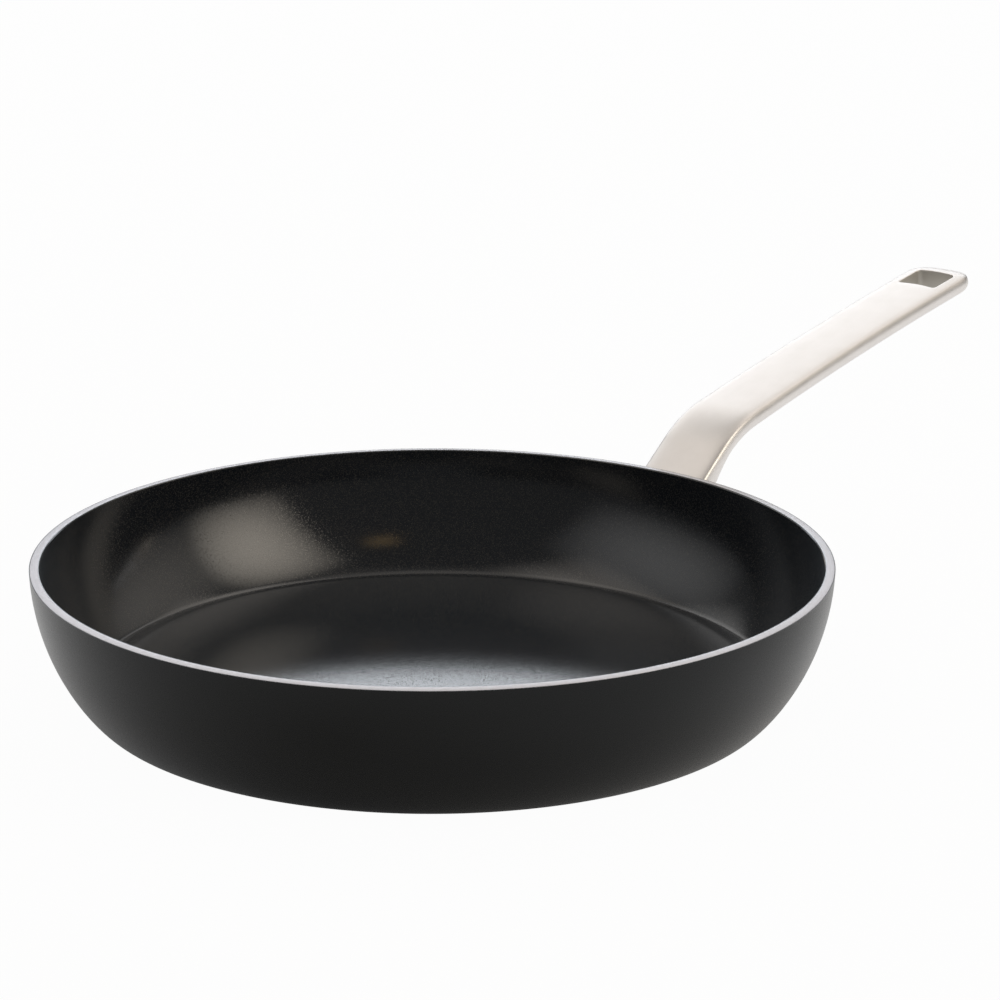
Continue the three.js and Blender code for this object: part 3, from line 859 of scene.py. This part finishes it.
# The share of white that reflections see is painted shade: lower in front of the pan and close to its foot,
# where the pan shades the floor, and a little lower far off.
from_front = add_node(tree, "ShaderNodeVectorMath", {0: place, 1: shade_middle}, operation="DISTANCE")
open_floor = add_node(tree, "ShaderNodeMapRange", {"Value": from_front.outputs["Value"], "From Max": 0.25,
                      "To Min": 0.125, "To Max": 0.85})
from_pan = add_node(tree, "ShaderNodeVectorMath", {0: place}, operation="LENGTH")
past_foot = add_node(tree, "ShaderNodeMapRange", {"Value": from_pan.outputs["Value"], "From Min": 0.105,
                     "From Max": 0.17, "To Min": 0.3, "To Max": 1})
far_off = add_node(tree, "ShaderNodeMapRange", {"Value": from_front.outputs["Value"], "From Min": 0.3,
                   "From Max": 0.42, "To Min": 1, "To Max": 0.9})
near_dim = add_node(tree, "ShaderNodeMath", {0: open_floor.outputs["Result"], 1: past_foot.outputs["Result"]},
                    operation="MULTIPLY")
dimmed = add_node(tree, "ShaderNodeMath", {0: near_dim.outputs["Value"], 1: far_off.outputs["Result"]},
                  operation="MULTIPLY")
mirrored = add_node(tree, "ShaderNodeMath", {0: rays.outputs["Is Glossy Ray"], 1: dimmed.outputs["Value"]},
                    operation="MULTIPLY")
share = add_node(tree, "ShaderNodeMath", {0: seen.outputs["Value"], 1: mirrored.outputs["Value"]},
                 operation="MAXIMUM")
lit = add_node(tree, "ShaderNodeMixShader", {0: share.outputs["Value"], 1: matt.outputs["BSDF"],
               2: white.outputs["Emission"]})
clear = add_node(tree, "ShaderNodeBsdfTransparent")
under = add_node(tree, "ShaderNodeNewGeometry").outputs["Backfacing"]
sided = add_node(tree, "ShaderNodeMixShader", {0: under, 1: lit.outputs["Shader"], 2: clear.outputs["BSDF"]})
tree.links.new(sided.outputs["Shader"], surface)
mesh = bpy.data.meshes.new("studio_floor")
floor_mesh.to_mesh(mesh)
floor_mesh.free()
mesh.materials.append(paper)
floor = bpy.data.objects.new("studio_floor", mesh)
scene.collection.objects.link(floor)

# Studio light: a lit white sweep behind the pan, softboxes to its right, left and above, and a dim room.
# Headings are in degrees clockwise from the camera's line of sight, seen from above. Sizes are in metres, and
# a level of 1 shows as white in the middle of the softbox, from where it fades to nothing at its edges.
sight_heading = 40
watts_per_white = 4
bell_peak = 16


def softbox(name, heading, elevation, distance, width, height, level, colour):
    lamp = bpy.data.lights.new(name, "AREA")
    lamp.shape = "RECTANGLE"
    lamp.size = width
    lamp.size_y = height
    lamp.energy = level * watts_per_white * width * height
    lamp.color = linear(colour)[:3]
    lamp.use_nodes = True
    tree = lamp.node_tree
    tree.nodes.clear()
    place = add_node(tree, "ShaderNodeNewGeometry").outputs["Parametric"]
    other = add_node(tree, "ShaderNodeVectorMath", {0: (1, 1, 1), 1: place}, operation="SUBTRACT")
    bells = add_node(tree, "ShaderNodeVectorMath", {0: place, 1: other.outputs["Vector"]},
                     operation="MULTIPLY")
    sides = add_node(tree, "ShaderNodeSeparateXYZ", {"Vector": bells.outputs["Vector"]})
    bell = add_node(tree, "ShaderNodeMath", {0: sides.outputs["X"], 1: sides.outputs["Y"]},
                    operation="MULTIPLY")
    peak = add_node(tree, "ShaderNodeMath", {0: bell.outputs["Value"], 1: bell_peak}, operation="MULTIPLY")
    glow = add_node(tree, "ShaderNodeEmission", {"Strength": peak.outputs["Value"]})
    add_node(tree, "ShaderNodeOutputLight", {"Surface": glow.outputs["Emission"]})
    turn = math.radians(sight_heading - heading)
    rise = math.radians(elevation)
    way = Vector((math.cos(turn) * math.cos(rise), math.sin(turn) * math.cos(rise), math.sin(rise)))
    box = bpy.data.objects.new(name, lamp)
    box.location = way * distance
    box.rotation_euler = way.to_track_quat("Z", "Y").to_euler()
    box.visible_camera = False
    scene.collection.objects.link(box)


# Each softbox: name, heading, elevation, distance, width, height, level, colour.
softbox("horizon_strip", 0, 18.6, 2.2, 2.9, 0.42, 2.6, "#f2f8ff")
softbox("sweep_light", -15, 38, 2.2, 4.0, 1.3, 1.06, "#fffdfb")
softbox("right_overhead", 45, 53, 1.9, 1.8, 1.2, 0.9, "#fff7ee")
softbox("right_softbox", 114, 31, 1.8, 1.3, 1.9, 2.15, "#fff5e6")
softbox("right_fill", 70, 27, 1.8, 2.4, 1.4, 0.4, "#fff7ec")
softbox("left_softbox", -96, 30, 1.9, 2.6, 1.5, 0.5, "#ffffff")
softbox("left_overhead", -85, 60, 1.9, 2.2, 1.3, 0.72, "#fff7ee")
softbox("overhead", 0, 86, 2.0, 3.0, 2.4, 0.36, "#fff7ee")
softbox("modelling_lamp", 160, 42.4, 1.8, 0.36, 0.26, 0.6, "#ffd48c")

room_level = 0.11
world = bpy.data.worlds.new("dim_room")
scene.world = world
world.use_nodes = True
tree = world.node_tree
tree.nodes.clear()
rays = add_node(tree, "ShaderNodeLightPath")
level = add_node(tree, "ShaderNodeMapRange", {"Value": rays.outputs["Is Camera Ray"], "To Min": room_level,
                 "To Max": 1})
room = add_node(tree, "ShaderNodeBackground", {"Color": (1, 1, 1, 1), "Strength": level.outputs["Result"]})
add_node(tree, "ShaderNodeOutputWorld", {"Surface": room.outputs["Background"]})
scene.view_settings.view_transform = "Standard"

# Camera: a long lens a little over a metre away, above the pan and across from the handle.
camera_place = (-0.9501, -0.7972, 0.4394)
camera = bpy.data.cameras.new("photo_camera")
camera.sensor_width = 36
camera.lens = 134.09
view = bpy.data.objects.new("photo_camera", camera)
heading = Matrix.Rotation(math.radians(-51.078), 4, "Z")
tip_down = Matrix.Rotation(math.radians(73.436), 4, "X")
roll = Matrix.Rotation(math.radians(0.228), 4, "Z")
view.matrix_world = Matrix.Translation(camera_place) @ heading @ tip_down @ roll
scene.collection.objects.link(view)
scene.camera = view
